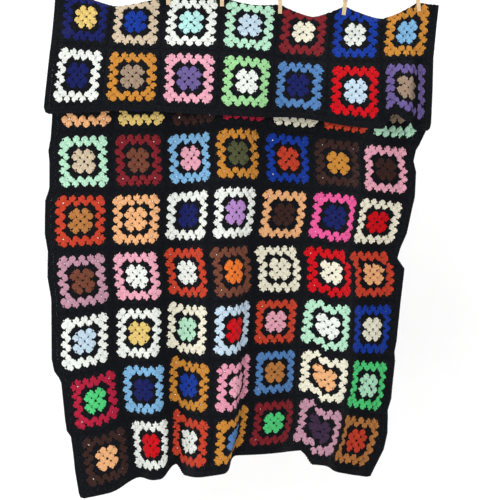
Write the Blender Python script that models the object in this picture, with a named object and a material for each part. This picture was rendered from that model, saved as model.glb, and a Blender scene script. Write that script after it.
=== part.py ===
"""A granny square blanket, folded over at the top and held by six clothes pegs.

Seven columns and ten rows of crocheted squares are joined and edged in black. Two rows hang as a flap in front
of the other eight. Metres, +Z up, with the front towards -Y. The origin is where the line runs through the
jaws of the third peg.
"""

import math
from collections import namedtuple

import bmesh
import bpy
import numpy as np

MM = 0.001

# The cloth
COLUMNS = 7
ROWS = 10
SQUARE = 150.0 * MM
EDGING_WIDTH = 16.0 * MM
EDGING_CORNER = 0.72
THICKNESS = 3.6 * MM
PIECE_GAP = 0.3 * MM

# The fold at the top, which comes this many rows up from the flap's hem
FOLD_ROW = 1.945
FLAP_ROW_DROP = 156.0 * MM
CROWDED_ROWS = 0.3
FOLD_RADIUS_PINCHED = 2.3 * MM
FOLD_RADIUS_SETTLED = 6.5 * MM
OPENED_BY_SAG = 0.3
PINCHED_REACH = 40.0 * MM
SETTLES_FROM = 0.25
SETTLES_OVER = 0.8
SAG_POWER = 1.4
FLAP_STAND_OFF = 45.0 * MM
STAND_OFF_REACH = 1.2
END_DROOP_PER_COLUMN = 20.0 * MM

# The stations count rows down the cloth from the hem of the flap. Station 2 is the fold.
FLAP_STATION = 1
FOLD_STATION = 2
BEHIND_STATION = 4
MIDDLE_STATION = 5
LAST_STATION = 10

# A row for each seam across the blanket: how high it is at the middle of each column, in millimetres. The
# pegs give the heights along the fold.
Seam = namedtuple("Seam", "station heights")
SEAMS = (
    Seam(0, (-303, -299, -306, -314, -318, -342, -327)),
    Seam(1, (-135, -148, -150, -158, -175, -184, -177)),
    Seam(4, (-366, -361, -360, -347, -364, -380, -393)),
    Seam(5, (-527, -525, -516, -504, -515, -525, -541)),
    Seam(6, (-688, -682, -671, -666, -665, -673, -680)),
    Seam(7, (-852, -834, -824, -824, -811, -823, -825)),
    Seam(8, (-1016, -990, -978, -978, -950, -966, -979)),
    Seam(9, (-1172, -1140, -1130, -1124, -1086, -1103, -1130)),
    Seam(10, (-1325, -1292, -1282, -1258, -1227, -1244, -1279)),
)

# A row for each bend in the blanket's two sides: where they lie across, in millimetres
Side = namedtuple("Side", "station left right")
SIDES = (
    Side(0, -462, 549),
    Side(1, -443, 554),
    Side(2, -434, 572),
    Side(3.8, -444, 538),
    Side(4.1, -448, 511),
    Side(4.3, -454, 504),
    Side(4.5, -451, 511),
    Side(4.95, -451, 507),
    Side(5.15, -462, 500),
    Side(5.7, -463, 484),
    Side(6.0, -455, 467),
    Side(6.2, -456, 459),
    Side(6.4, -456, 478),
    Side(6.75, -446, 473),
    Side(7.7, -445, 459),
    Side(7.9, -438, 453),
    Side(8.05, -420, 455),
    Side(8.7, -409, 444),
    Side(8.9, -404, 434),
    Side(9.0, -393, 434),
    Side(9.3, -386, 432),
    Side(9.6, -381, 421),
    Side(10, -371, 391),
)

# A row for each row of squares that shows: where the middle of each column lies across, in millimetres
Middles = namedtuple("Middles", "station across")
MIDDLES = (
    Middles(0.5, (-388, -238, -88, 68, 203, 358, 498)),
    Middles(1.5, (-365, -235, -84, 76, 220, 359, 498)),
    Middles(4.5, (-373, -226, -83, 46, 182, 314, 449)),
    Middles(5.5, (-382, -233, -89, 39, 169, 305, 422)),
    Middles(6.5, (-377, -231, -92, 35, 158, 296, 412)),
    Middles(7.5, (-372, -224, -92, 39, 145, 285, 410)),
    Middles(8.5, (-342, -214, -89, 43, 143, 276, 400)),
    Middles(9.5, (-309, -193, -88, 33, 140, 264, 364)),
)

# A row for each turn of the cloth, where it swings back (a positive angle) or forward. Its place and its
# half width are in columns, and its angle in degrees, first high on the layer and then at its hem. The rise
# is the step in the hem there, in millimetres.
Turn = namedtuple("Turn", "column_high column_hem half_width angle_high angle_hem rise")
MAIN_TURNS = (
    Turn(0.70, 0.80, 0.36, 6, 34, 16),
    Turn(1.45, 1.35, 0.24, -8, -42, -14),
    Turn(2.05, 1.95, 0.26, 12, 48, 34),
    Turn(2.30, 2.30, 0.12, 0, 0, -28),
    Turn(2.75, 2.55, 0.34, -34, -48, -10),
    Turn(3.75, 3.55, 0.26, 40, 78, 36),
    Turn(4.85, 4.95, 0.30, -36, -62, 0),
    Turn(5.42, 5.42, 0.12, 0, 0, -38),
    Turn(5.95, 6.10, 0.34, 48, 62, -10),
    Turn(6.75, 6.80, 0.26, -32, -52, 8),
)
FLAP_TURNS = (
    Turn(0.45, 0.20, 0.30, 30, 10, 0),
    Turn(1.10, 1.00, 0.30, -28, -8, 0),
    Turn(3.60, 3.75, 0.30, 14, 24, 0),
    Turn(4.40, 4.30, 0.30, -16, -22, 0),
    Turn(5.60, 5.90, 0.30, 18, 12, 0),
    Turn(6.12, 6.12, 0.12, 0, 0, 38),
    Turn(6.20, 6.25, 0.20, -10, -16, 0),
    Turn(6.36, 6.36, 0.12, 0, 0, -18),
    Turn(6.62, 6.64, 0.12, 40, 66, -20),
    Turn(6.92, 7.00, 0.20, -34, -58, 0),
)
TURNS_START_BELOW_FOLD = 0.3

# A row for each peg: where it stands along the fold and how high the cloth's top edge is there, how far the
# edge sags before the next peg, all in millimetres, and how far the peg leans, in degrees.
Peg = namedtuple("Peg", "across top sag lean")
PEGS = (
    Peg(-427, 20, 39, 2),
    Peg(-146, 1, 8, -3),
    Peg(0, -3.2, 11, 0),
    Peg(157, -23, 32, 1),
    Peg(332, -27, 40, 8),
    Peg(529, -17, 0, -6),
)

# The gaps cut through at the four corners of each square's coloured frame, as fractions of a square
GAP_LOW = (0.177, 0.211)
GAP_HIGH = (0.789, 0.823)
HALF = 0.5
FOLD_STEPS = 6

# The grid on which the sections across the cloth are worked out
GRID_STEPS = 40
GRID_MARGIN = 0.2
STATION_STEP = 0.05
SLOPE_STEP = 0.01
LAST_CELL = 1.001
SHARP_ANGLE = math.radians(40)

# The pegs
PEG_WIDTH = 10.4 * MM
JAW_CLEARANCE = 0.35 * MM
JAW_DEPTH = 29.0 * MM
TIP_THICKNESS = 2.6 * MM
JAW_THICKNESS = 5.0 * MM
CHEEK_HEIGHT = -13.0 * MM
LINE_RADIUS = 1.8 * MM
LINE_ABOVE_CLOTH = 3.2 * MM
LEG_HALF_GAP = 0.4 * MM
SPRING_HEIGHT = 9.0 * MM
SPRING_RADIUS = 3.3 * MM
SPRING_WIRE = 0.8 * MM
SPRING_TURNS = 3.5
SPRING_STEPS_PER_TURN = 8
SPRING_HOOK = 3.0 * MM
WAIST_THICKNESS = 8.2 * MM
HANDLE_TOP = 49.0 * MM
HANDLE_INNER = 4.2 * MM
HANDLE_OUTER = 9.0 * MM
ARC_STEPS = 6

# Colour, roughness and metallic value
SQUARES_FINISH = ((0.30, 0.16, 0.13), 0.95, 0.0)
EDGING_FINISH = ((0.010, 0.011, 0.014), 0.95, 0.0)
WOOD_FINISH = ((0.62, 0.45, 0.27), 0.65, 0.0)
STEEL_FINISH = ((0.55, 0.56, 0.57), 0.35, 1.0)


def clear_scene():
    for thing in list(bpy.data.objects):
        bpy.data.objects.remove(thing, do_unlink=True)


def make_material(name, finish):
    colour, roughness, metallic = finish
    material = bpy.data.materials.new(name)
    material.use_nodes = True
    shader = material.node_tree.nodes["Principled BSDF"]
    shader.inputs["Base Color"].default_value = (*colour, 1.0)
    shader.inputs["Roughness"].default_value = roughness
    shader.inputs["Metallic"].default_value = metallic
    return material


def smooth_step(t):
    t = np.clip(t, 0.0, 1.0)
    return t * t * (3.0 - 2.0 * t)


def smooth_curve(where, knots, values):
    """A smooth curve through the values at the knots, straight beyond its ends."""
    knots = np.asarray(knots, float)
    values = np.asarray(values, float)
    slopes = np.gradient(values, knots)
    where = np.asarray(where, float)
    inside = np.clip(where, knots[0], knots[-1])
    k = np.clip(np.searchsorted(knots, inside) - 1, 0, len(knots) - 2)
    span = knots[k + 1] - knots[k]
    t = (inside - knots[k]) / span
    start = (1 + 2 * t) * (1 - t) ** 2 * values[k] + t * (1 - t) ** 2 * span * slopes[k]
    end = t * t * (3 - 2 * t) * values[k + 1] - t * t * (1 - t) * span * slopes[k + 1]
    beyond = np.where(where < knots[0], slopes[0], slopes[-1]) * (where - inside)
    return start + end + beyond


def peg_columns():
    """Where each peg stands, counted in columns from the left."""
    stations, columns, across = SECTIONS[:3]
    fold = np.argmin(np.abs(stations - FOLD_STATION))
    return np.interp([peg.across * MM for peg in PEGS], across[fold], columns)


def fold_sag(u):
    """How far the fold hangs below straight lines from peg to peg."""
    columns = peg_columns()
    sag = 0.0
    for peg, start, end in zip(PEGS, columns, columns[1:]):
        t = np.clip((u - start) / (end - start), 0.0, 1.0)
        sag = sag + peg.sag * MM * (1 - np.abs(2 * t - 1) ** SAG_POWER)
    return sag


def fold_top(u):
    """Height of the middle of the cloth's thickness along the fold."""
    columns = peg_columns()
    tops = [peg.top * MM - THICKNESS / 2 for peg in PEGS]
    outside = np.maximum(columns[0] - u, 0.0) + np.maximum(u - columns[-1], 0.0)
    return np.interp(u, columns, tops) - fold_sag(u) - END_DROOP_PER_COLUMN * outside


def fold_radius(u):
    """Radius of the fold to the middle of the thickness: tight at a peg, and opened by the sag between two."""
    nearest = np.min([np.abs(u - column) for column in peg_columns()], axis=0) * SQUARE
    opened = smooth_step((nearest - PINCHED_REACH) / PINCHED_REACH)
    wide = FOLD_RADIUS_SETTLED + OPENED_BY_SAG * fold_sag(u)
    return FOLD_RADIUS_PINCHED + (wide - FOLD_RADIUS_PINCHED) * opened


def seam_height(u, station):
    """Height of a seam of the table, run through the middles of the columns with the turns' steps between."""
    seam = next(row for row in SEAMS if row.station == station)
    middles = np.arange(COLUMNS) + HALF
    smooth_part = np.array(seam.heights) - turn_rise(middles, station)
    return (smooth_curve(u, middles, smooth_part) + turn_rise(u, station)) * MM


def bend_length(u):
    """Cloth taken by the half circle of the fold, less the height it covers."""
    return fold_radius(u) * (math.pi / 2 - 1)


def cloth_below_fold(u, station):
    """Cloth between the fold and a seam of the table."""
    return fold_top(u) - seam_height(u, station) + bend_length(u)


def behind_row_drop(u):
    """Height of a row of the main layer between the fold and the first seam below it in the table."""
    return cloth_below_fold(u, BEHIND_STATION) / (BEHIND_STATION - FOLD_ROW)


def flap_drop_at_fold(u):
    """Height of a row of the flap right at the fold, where rows crowd together as the fold sags."""
    spare = cloth_below_fold(u, FLAP_STATION) - FLAP_ROW_DROP * (FOLD_ROW - FLAP_STATION)
    return FLAP_ROW_DROP + spare / CROWDED_ROWS


def flap_length(u, rows):
    """Cloth from the fold to a point some rows down the flap."""
    near = flap_drop_at_fold(u)
    crowded = np.minimum(rows, 2 * CROWDED_ROWS)
    grown = (FLAP_ROW_DROP - near) * crowded**2 / (4 * CROWDED_ROWS)
    return near * crowded + grown + FLAP_ROW_DROP * (rows - crowded)


def flap_rows(u, length):
    """How many rows of the flap a short length from the fold takes, the reverse of flap_length."""
    near = flap_drop_at_fold(u)
    return 2 * length / (near + np.sqrt(near**2 + (FLAP_ROW_DROP - near) * length / CROWDED_ROWS))


def station_of(v):
    """The station of a point: its row, but stretched so that the fold is at station 2."""
    rows = (-1, FLAP_STATION, FOLD_ROW, BEHIND_STATION, ROWS + 1)
    return np.interp(v, rows, (-1, FLAP_STATION, FOLD_STATION, BEHIND_STATION, ROWS + 1))


def main_share(station):
    """How far down the main layer a station is: 0 down to its upper rows and 1 at the hem."""
    return np.clip((station - MIDDLE_STATION) / (LAST_STATION - MIDDLE_STATION), 0.0, 1.0)


def turn_angle(u, station):
    """How far the cloth is turned away from facing the front, in radians."""
    angle = np.zeros_like(u)
    if station < FOLD_STATION:
        grown = smooth_step((FOLD_STATION - TURNS_START_BELOW_FOLD - station) / FLAP_STATION)
        share = np.clip((FOLD_STATION - station) / FOLD_STATION, 0.0, 1.0)
        turns = FLAP_TURNS
    else:
        start = FOLD_STATION + TURNS_START_BELOW_FOLD
        grown = smooth_step((station - start) / (BEHIND_STATION - start))
        share = main_share(station)
        turns = MAIN_TURNS
    for turn in turns:
        column = turn.column_high + (turn.column_hem - turn.column_high) * share
        size = turn.angle_high + (turn.angle_hem - turn.angle_high) * share
        angle += math.radians(size) * grown * np.exp(-(((u - column) / turn.half_width) ** 2))
    return angle


def turn_rise(u, station):
    """Height that a layer's turns add towards its hem, stepping up or down at each."""
    on_flap = station < FOLD_STATION
    share = np.clip(FLAP_STATION - station, 0.0, 1.0) if on_flap else main_share(station)
    height = np.zeros_like(u, dtype=float)
    for turn in FLAP_TURNS if on_flap else MAIN_TURNS:
        column = turn.column_high + (turn.column_hem - turn.column_high) * share
        height += turn.rise * share * smooth_step(((u - column) / turn.half_width + 1) / 2)
    return height


def work_out_sections():
    """Sections across the cloth, from its turns, its sides and its columns' middles: places and depths."""
    stations = np.arange(-GRID_MARGIN, ROWS + GRID_MARGIN, STATION_STEP)
    columns = np.linspace(-GRID_MARGIN, COLUMNS + GRID_MARGIN, (COLUMNS + 1) * GRID_STEPS + 1)
    knots = [side.station for side in SIDES]
    left = np.interp(stations, knots, [side.left * MM for side in SIDES])
    right = np.interp(stations, knots, [side.right * MM for side in SIDES])
    step = columns[1] - columns[0]
    across = []
    depth = []
    for row, station in enumerate(stations):
        angle = turn_angle(columns, station)
        x = np.cumsum(np.cos(angle)) * step
        y = np.cumsum(np.sin(angle)) * step * SQUARE
        first, last = np.interp((0, COLUMNS), columns, x)
        share = (x - first) / (last - first)
        across.append(left[row] + (right[row] - left[row]) * share)
        start, end = np.interp((0, COLUMNS), columns, y)
        y = y - (start + (end - start) * share)
        depth.append(y - y.mean())
    across = np.array(across)
    return stations, columns, across + middle_pulls(stations, columns, across), np.array(depth)


def middle_pulls(stations, columns, across):
    """How far the columns' middles pull each section sideways from its even spacing."""
    middles = np.arange(COLUMNS) + HALF
    pulls = []
    for row in MIDDLES:
        even = across[np.argmin(np.abs(stations - row.station))]
        pull = np.array(row.across) * MM - np.interp(middles, columns, even)
        pulls.append(smooth_curve(columns, (0.0, *middles, COLUMNS), (0.0, *pull, 0.0)))
    knots = [row.station for row in MIDDLES]
    return np.array([np.interp(stations, knots, pull) for pull in np.transpose(pulls)]).T


SECTIONS = work_out_sections()


def read_grid(grid, station, u):
    """The value of a grid of sections at any station and column."""
    stations, columns = SECTIONS[:2]
    i = np.clip((station - stations[0]) / STATION_STEP, 0, len(stations) - LAST_CELL)
    j = np.clip((u - columns[0]) / (columns[1] - columns[0]), 0, len(columns) - LAST_CELL)
    row = i.astype(int)
    column = j.astype(int)
    a = i - row
    b = j - column
    low = grid[row, column] * (1 - b) + grid[row, column + 1] * b
    high = grid[row + 1, column] * (1 - b) + grid[row + 1, column + 1] * b
    return low * (1 - a) + high * a


def table_height(u, station):
    """Height away from the fold, from the seams of the table."""
    knots = np.array([seam.station for seam in SEAMS], float)
    heights = np.array([seam_height(u, seam.station) for seam in SEAMS])
    k = np.clip(np.searchsorted(knots, station, side="right") - 1, 0, len(knots) - 2)
    t = (station - knots[k]) / (knots[k + 1] - knots[k])
    point = np.arange(len(u))
    return heights[k, point] * (1 - t) + heights[k + 1, point] * t


def middle_points(u, v):
    """Points on the middle of the cloth's thickness, u columns across and v rows from the flap's hem."""
    radius = fold_radius(u)
    on_flap = v < FOLD_ROW
    rows = np.abs(v - FOLD_ROW)
    along = np.where(on_flap, flap_length(u, rows), rows * behind_row_drop(u))
    bend = radius * math.pi / 2
    turn = np.minimum(along, bend) / radius
    below = radius * (1 - np.cos(turn)) + np.maximum(along - bend, 0.0)
    apart = radius * np.sin(turn)
    apart += (FOLD_RADIUS_SETTLED - radius) * smooth_step((rows - SETTLES_FROM) / SETTLES_OVER)
    station = station_of(v)
    near_fold = (v > FLAP_STATION) & (v < BEHIND_STATION)
    z = np.where(near_fold, fold_top(u) - below, table_height(u, station))
    x = read_grid(SECTIONS[2], station, u)
    rows_below = FOLD_STATION - TURNS_START_BELOW_FOLD - station
    stand_off = FLAP_STAND_OFF * smooth_step(rows_below / STAND_OFF_REACH)
    y = read_grid(SECTIONS[3], station, u) + np.where(on_flap, -apart - stand_off, apart)
    return np.stack([x, y, z], axis=-1)


def cloth_points(u, v):
    """Middle points and unit normals, for lists of columns and rows."""
    across = middle_points(u + SLOPE_STEP, v) - middle_points(u - SLOPE_STEP, v)
    down = middle_points(u, v + SLOPE_STEP) - middle_points(u, v - SLOPE_STEP)
    normal = np.cross(across, down)
    normal /= np.linalg.norm(normal, axis=-1, keepdims=True)
    return middle_points(u, v), normal


def square_lines(count, fractions):
    return [i + fraction for i in range(count) for fraction in fractions]


def across_lines():
    return square_lines(COLUMNS, (0.0, *GAP_LOW, HALF, *GAP_HIGH)) + [COLUMNS]


def bent_rows(u):
    """Rows at column u that lie round the fold's half circle."""
    turns = np.linspace(-math.pi / 2, math.pi / 2, FOLD_STEPS + 1)
    arcs = fold_radius(u) * np.abs(turns)
    return list(FOLD_ROW + np.where(turns < 0, -flap_rows(u, arcs), arcs / behind_row_drop(u)))


def down_lines(u):
    """Rows of the mesh's lines at column u, where those round the fold follow it."""
    fractions = (0.0, *GAP_LOW, *GAP_HIGH)
    flap = square_lines(1, fractions) + [FLAP_STATION + f for f in (0.0, *GAP_LOW, HALF)]
    hidden = [FOLD_STATION + f for f in (*GAP_LOW, *GAP_HIGH)]
    main = [FOLD_STATION + 1 + f for f in square_lines(ROWS - FOLD_STATION - 1, fractions)] + [ROWS]
    bent = bent_rows(u)
    before = (flap[-1] + bent[0]) / 2
    after = (bent[-1] + hidden[0]) / 2
    return flap + [before] + bent + [after] + hidden + main


def is_gap(u_start, u_end, v_start, v_end):
    """Whether a cell of the mesh is one of the gaps that are cut through."""
    across = (round(u_start % 1, 3), round(u_end % 1, 3))
    down = (round(v_start % 1, 3), round(v_end % 1, 3))
    return across in (GAP_LOW, GAP_HIGH) and down in (GAP_LOW, GAP_HIGH)


def sheet_solid(name, u, v, keep, finish):
    """A closed sheet of cloth over the cells that keep allows, with walls wherever a kept cell ends."""
    middle, normal = cloth_points(u.ravel(), v.ravel())
    sides = [(middle + normal * THICKNESS * side).reshape(*u.shape, 3) for side in (HALF, -HALF)]
    mesh = bmesh.new()
    corners = {}

    def corner(side, place):
        key = (side, *place)
        if key not in corners:
            corners[key] = mesh.verts.new(sides[side][place])
        return corners[key]

    def kept(i, j):
        inside = 0 <= i < keep.shape[0] and 0 <= j < keep.shape[1]
        return inside and keep[i, j]

    def add_quad(a, b, c, d):
        """Two triangles that share the edge from a to c, so that facing sheets are split alike."""
        mesh.faces.new((a, b, c))
        mesh.faces.new((a, c, d))

    def wall(start, end):
        if start < end:
            add_quad(corner(0, start), corner(1, start), corner(1, end), corner(0, end))
        else:
            add_quad(corner(0, end), corner(0, start), corner(1, start), corner(1, end))

    for i, j in np.argwhere(keep):
        a, b, c, d = ((i, j), (i, j + 1), (i + 1, j + 1), (i + 1, j))
        add_quad(*(corner(0, place) for place in (a, b, c, d)))
        add_quad(*(corner(1, place) for place in (c, b, a, d)))
        if not kept(i - 1, j):
            wall(a, b)
        if not kept(i + 1, j):
            wall(c, d)
        if not kept(i, j - 1):
            wall(d, a)
        if not kept(i, j + 1):
            wall(b, c)
    return finish_mesh(name, mesh, finish)


def finish_mesh(name, mesh, finish):
    data = bpy.data.meshes.new(name)
    mesh.to_mesh(data)
    mesh.free()
    data.shade_smooth()
    data.set_sharp_from_angle(angle=SHARP_ANGLE)
    data.materials.append(make_material(name, finish))
    thing = bpy.data.objects.new(name, data)
    bpy.context.collection.objects.link(thing)
    return thing


def make_blanket():
    u_lines = across_lines()
    lines = np.array([down_lines(u) for u in u_lines]).T
    u = np.tile(u_lines, (lines.shape[0], 1))
    keep = np.ones((lines.shape[0] - 1, len(u_lines) - 1), bool)
    for i in range(keep.shape[0]):
        for j in range(keep.shape[1]):
            keep[i, j] = not is_gap(u[i, j], u[i, j + 1], lines[i, j], lines[i + 1, j])
    sheet_solid("blanket", u, lines, keep, SQUARES_FINISH)


def make_edging():
    """The strip round the blanket, on the same curves and a small gap outside them."""
    gap = PIECE_GAP / SQUARE
    width = EDGING_WIDTH / SQUARE
    u_lines = [-width, -gap, *across_lines()[1:-1], COLUMNS + gap, COLUMNS + width]
    rows = []
    for u in u_lines:
        inner = down_lines(np.clip(u, 0, COLUMNS))[1:-1]
        rows.append([-width, -gap, *inner, ROWS + gap, ROWS + width])
    v = np.array(rows).T
    u = np.tile(u_lines, (v.shape[0], 1))
    for i, v_edge in ((0, 0), (-1, ROWS)):
        for j, u_edge in ((0, 0), (-1, COLUMNS)):
            u[i, j] = u_edge + (u[i, j] - u_edge) * EDGING_CORNER
            v[i, j] = v_edge + (v[i, j] - v_edge) * EDGING_CORNER
    keep = np.zeros((v.shape[0] - 1, v.shape[1] - 1), bool)
    keep[0, :] = keep[-1, :] = True
    keep[:, 0] = keep[:, -1] = True
    sheet_solid("edging", u, v, keep, EDGING_FINISH)


def arc_points(height, radius, start, end):
    """Points of an arc round the peg's middle plane, as distances from that plane and heights."""
    angles = np.radians(np.linspace(start, end, ARC_STEPS + 1))
    return [(radius * math.cos(a), height + radius * math.sin(a)) for a in angles]


def leg_profile():
    """Outline of a leg: distance from the peg's middle plane, and height from the line."""
    jaw = FOLD_RADIUS_PINCHED + THICKNESS / 2 + JAW_CLEARANCE
    fold_centre = -LINE_ABOVE_CLOTH - FOLD_RADIUS_PINCHED - THICKNESS / 2
    groove = SPRING_RADIUS + SPRING_WIRE + PIECE_GAP
    groove_end = math.degrees(math.acos(LEG_HALF_GAP / groove))
    seat_end = math.degrees(math.acos(LEG_HALF_GAP / LINE_RADIUS))
    over_fold = math.degrees(math.acos(LINE_RADIUS / jaw))
    inner = [(jaw, -JAW_DEPTH)]
    inner += arc_points(fold_centre, jaw, 0, over_fold)
    inner += arc_points(0.0, LINE_RADIUS, 0, seat_end)
    inner += arc_points(SPRING_HEIGHT, groove, -groove_end, groove_end)
    inner += [(HANDLE_INNER, HANDLE_TOP)]
    outer = [
        (HANDLE_OUTER, HANDLE_TOP),
        (WAIST_THICKNESS, SPRING_HEIGHT + groove),
        (WAIST_THICKNESS, SPRING_HEIGHT - groove),
        (jaw + JAW_THICKNESS, CHEEK_HEIGHT),
        (jaw + TIP_THICKNESS, -JAW_DEPTH),
    ]
    return inner + outer


def make_leg(name):
    """A leg in front of the peg's middle plane: its outline, drawn out over the peg's width."""
    mesh = bmesh.new()
    sides = []
    for x in (-PEG_WIDTH / 2, PEG_WIDTH / 2):
        sides.append([mesh.verts.new((x, -distance, height)) for distance, height in leg_profile()])
    left, right = sides
    mesh.faces.new(left)
    mesh.faces.new(reversed(right))
    count = len(left)
    for k in range(count):
        after = (k + 1) % count
        mesh.faces.new((left[after], left[k], right[k], right[after]))
    bmesh.ops.recalc_face_normals(mesh, faces=mesh.faces)
    return finish_mesh(name, mesh, WOOD_FINISH)


def spring_path():
    """The wire's middle line: a hook over the front leg, the coil, and a hook over the back leg."""
    side = PEG_WIDTH / 2 + PIECE_GAP + SPRING_WIRE
    reach = WAIST_THICKNESS + PIECE_GAP + SPRING_WIRE
    steps = int(SPRING_TURNS * SPRING_STEPS_PER_TURN)
    points = [(-SPRING_HOOK, -reach, SPRING_HEIGHT), (side, -reach, SPRING_HEIGHT)]
    for step in range(steps + 1):
        turn = 2 * math.pi * SPRING_TURNS * step / steps
        x = side - 2 * side * step / steps
        y = -SPRING_RADIUS * math.cos(turn)
        points.append((x, y, SPRING_HEIGHT + SPRING_RADIUS * math.sin(turn)))
    return points + [(-side, reach, SPRING_HEIGHT), (SPRING_HOOK, reach, SPRING_HEIGHT)]


def make_spring(name):
    curve = bpy.data.curves.new(name, "CURVE")
    curve.dimensions = "3D"
    points = spring_path()
    spline = curve.splines.new("POLY")
    spline.points.add(len(points) - 1)
    for point, place in zip(spline.points, points):
        point.co = (*place, 1.0)
    curve.bevel_depth = SPRING_WIRE
    curve.bevel_resolution = 1
    curve.use_fill_caps = True
    curve.materials.append(make_material(name, STEEL_FINISH))
    thing = bpy.data.objects.new(name, curve)
    bpy.context.collection.objects.link(thing)
    return thing


def make_pegs():
    for number, peg in enumerate(PEGS, 1):
        holder = bpy.data.objects.new(f"peg_{number}", None)
        bpy.context.collection.objects.link(holder)
        holder.location = (peg.across * MM, 0.0, peg.top * MM + LINE_ABOVE_CLOTH)
        holder.rotation_euler = (0.0, math.radians(peg.lean), 0.0)
        front = make_leg(f"peg_{number}_front_leg")
        back = make_leg(f"peg_{number}_back_leg")
        back.rotation_euler = (0.0, 0.0, math.pi)
        spring = make_spring(f"peg_{number}_spring")
        for thing in (front, back, spring):
            thing.parent = holder


def main():
    clear_scene()
    make_blanket()
    make_edging()
    make_pegs()


main()
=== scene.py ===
"""The looks of a granny square blanket that hangs from six clothes pegs.

Every stitch cluster of the seventy squares is modelled as three posts under an arched top strand, laid on
the blanket's folds. Metres, in the solids' frame: +Z up, with the front towards -Y.
"""

import math
from collections import namedtuple

import bmesh
import bpy
import numpy as np
from mathutils import Matrix, Vector


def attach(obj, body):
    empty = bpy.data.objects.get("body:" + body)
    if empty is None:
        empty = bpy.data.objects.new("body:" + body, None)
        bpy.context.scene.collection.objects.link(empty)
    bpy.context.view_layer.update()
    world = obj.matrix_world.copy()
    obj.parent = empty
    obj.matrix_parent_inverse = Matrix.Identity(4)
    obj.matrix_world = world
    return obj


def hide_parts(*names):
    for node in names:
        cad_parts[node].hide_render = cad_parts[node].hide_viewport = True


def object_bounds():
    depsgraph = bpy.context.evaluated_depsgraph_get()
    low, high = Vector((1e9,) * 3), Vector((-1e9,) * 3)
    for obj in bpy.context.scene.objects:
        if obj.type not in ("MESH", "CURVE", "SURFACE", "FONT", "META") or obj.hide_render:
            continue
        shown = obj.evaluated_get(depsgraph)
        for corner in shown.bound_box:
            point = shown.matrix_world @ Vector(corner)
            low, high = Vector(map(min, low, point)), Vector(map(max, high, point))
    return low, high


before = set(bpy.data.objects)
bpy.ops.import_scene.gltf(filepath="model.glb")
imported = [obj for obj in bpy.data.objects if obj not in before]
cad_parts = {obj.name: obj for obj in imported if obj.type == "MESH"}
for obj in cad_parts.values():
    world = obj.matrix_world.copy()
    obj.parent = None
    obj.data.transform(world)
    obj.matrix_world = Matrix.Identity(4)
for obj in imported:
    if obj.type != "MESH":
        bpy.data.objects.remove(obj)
CAD_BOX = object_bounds()

MM = 0.001

# The cloth, as in the solids
COLUMNS = 7
ROWS = 10
SQUARE = 150.0 * MM
EDGING_WIDTH = 16.0 * MM
THICKNESS = 3.6 * MM
PIECE_GAP = 0.3 * MM
FOLD_ROW = 1.945
FLAP_ROW_DROP = 156.0 * MM
CROWDED_ROWS = 0.3
FOLD_RADIUS_PINCHED = 2.3 * MM
FOLD_RADIUS_SETTLED = 6.5 * MM
OPENED_BY_SAG = 0.3
PINCHED_REACH = 40.0 * MM
SETTLES_FROM = 0.25
SETTLES_OVER = 0.8
SAG_POWER = 1.4
FLAP_STAND_OFF = 45.0 * MM
STAND_OFF_REACH = 1.2
END_DROOP_PER_COLUMN = 20.0 * MM

# The stations count rows down the cloth from the hem of the flap. Station 2 is the fold.
FLAP_STATION = 1
FOLD_STATION = 2
BEHIND_STATION = 4
MIDDLE_STATION = 5
LAST_STATION = 10
HALF = 0.5

# A row for each seam across the blanket: how high it is at the middle of each column, in millimetres. The
# pegs give the heights along the fold.
Seam = namedtuple("Seam", "station heights")
SEAMS = (
    Seam(0, (-303, -299, -306, -314, -318, -342, -327)),
    Seam(1, (-135, -148, -150, -158, -175, -184, -177)),
    Seam(4, (-366, -361, -360, -347, -364, -380, -393)),
    Seam(5, (-527, -525, -516, -504, -515, -525, -541)),
    Seam(6, (-688, -682, -671, -666, -665, -673, -680)),
    Seam(7, (-852, -834, -824, -824, -811, -823, -825)),
    Seam(8, (-1016, -990, -978, -978, -950, -966, -979)),
    Seam(9, (-1172, -1140, -1130, -1124, -1086, -1103, -1130)),
    Seam(10, (-1325, -1292, -1282, -1258, -1227, -1244, -1279)),
)

# A row for each bend in the blanket's two sides: where they lie across, in millimetres
Side = namedtuple("Side", "station left right")
SIDES = (
    Side(0, -462, 549),
    Side(1, -443, 554),
    Side(2, -434, 572),
    Side(3.8, -444, 538),
    Side(4.1, -448, 511),
    Side(4.3, -454, 504),
    Side(4.5, -451, 511),
    Side(4.95, -451, 507),
    Side(5.15, -462, 500),
    Side(5.7, -463, 484),
    Side(6.0, -455, 467),
    Side(6.2, -456, 459),
    Side(6.4, -456, 478),
    Side(6.75, -446, 473),
    Side(7.7, -445, 459),
    Side(7.9, -438, 453),
    Side(8.05, -420, 455),
    Side(8.7, -409, 444),
    Side(8.9, -404, 434),
    Side(9.0, -393, 434),
    Side(9.3, -386, 432),
    Side(9.6, -381, 421),
    Side(10, -371, 391),
)

# A row for each row of squares that shows: where the middle of each column lies across, in millimetres
Middles = namedtuple("Middles", "station across")
MIDDLES = (
    Middles(0.5, (-388, -238, -88, 68, 203, 358, 498)),
    Middles(1.5, (-365, -235, -84, 76, 220, 359, 498)),
    Middles(4.5, (-373, -226, -83, 46, 182, 314, 449)),
    Middles(5.5, (-382, -233, -89, 39, 169, 305, 422)),
    Middles(6.5, (-377, -231, -92, 35, 158, 296, 412)),
    Middles(7.5, (-372, -224, -92, 39, 145, 285, 410)),
    Middles(8.5, (-342, -214, -89, 43, 143, 276, 400)),
    Middles(9.5, (-309, -193, -88, 33, 140, 264, 364)),
)

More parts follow.
